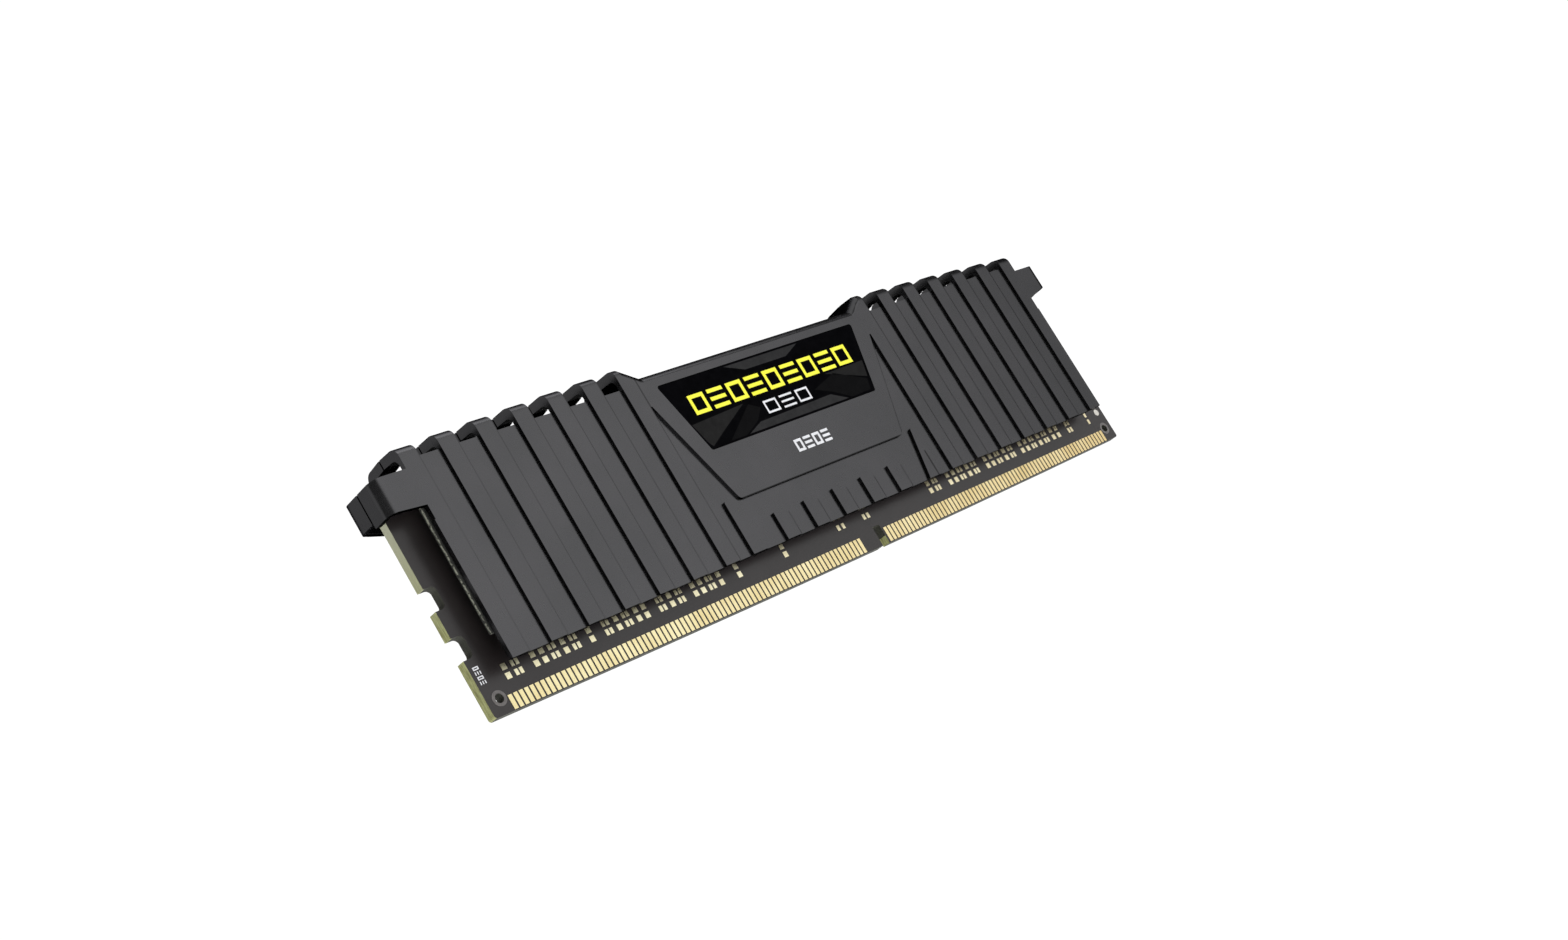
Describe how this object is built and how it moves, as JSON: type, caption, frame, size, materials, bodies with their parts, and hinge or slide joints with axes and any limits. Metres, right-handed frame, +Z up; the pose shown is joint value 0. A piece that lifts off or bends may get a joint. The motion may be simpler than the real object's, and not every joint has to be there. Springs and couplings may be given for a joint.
{
  "type": "desktop memory module",
  "caption": "Long thin memory module: card-edge circuit board with gold contacts, clad in two ribbed dark heat spreaders with folded tops, end ears and a trapezoid badge.",
  "frame": {"origin": "middle of the card edge: mid-length of the board, half way through its thickness, at the lowest point of the contact edge", "axes": "+X along the module's length, +Z up out of the socket, badge side faces -Y"},
  "size_m": [0.1358, 0.0076, 0.0355],
  "materials": {
    "board": "satin solder mask over glass-epoxy board",
    "gold": "smooth gold plating",
    "pale_tin": "matte tinned copper",
    "mask_edge": "solder mask over copper",
    "substrate": "green laminate",
    "solder": "bright solder",
    "capacitor": "matte fired ceramic",
    "resistor": "black glazed top",
    "chip": "matte moulding compound",
    "thermal_pad": "soft matte silicone",
    "foam": "closed-cell foam",
    "spreader": "fine-blasted dark anodised",
    "badge": "gloss black printed film"
  },
  "bodies": {
    "root": {"pcb": "board", "front_contacts_left": "gold", "front_contacts_right": "gold", "rear_contacts_left": "gold", "rear_contacts_right": "gold", "termination_pads": "gold", "fiducials": "pale_tin", "tooling_hole_rings": "mask_edge", "dram_substrates": "substrate", "dram_solder_balls": "solder", "capacitor_bodies": "capacitor", "capacitor_terminals": "solder", "bulk_capacitor_bodies": "capacitor", "bulk_capacitor_terminals": "solder", "resistor_arrays": "resistor", "resistor_array_terminals": "solder", "spd_sensor": "chip", "spd_sensor_leads": "solder", "front_thermal_pad": "thermal_pad", "rear_foam_pad": "foam", "front_heat_spreader": "spreader", "rear_heat_spreader": "spreader", "front_badge": "badge", "rear_badge": "badge", "dram_chip_1": "chip", "dram_chip_2": "chip", "dram_chip_3": "chip", "dram_chip_4": "chip", "dram_chip_5": "chip", "dram_chip_6": "chip", "dram_chip_7": "chip", "dram_chip_8": "chip"}
  },
  "joints": []
}
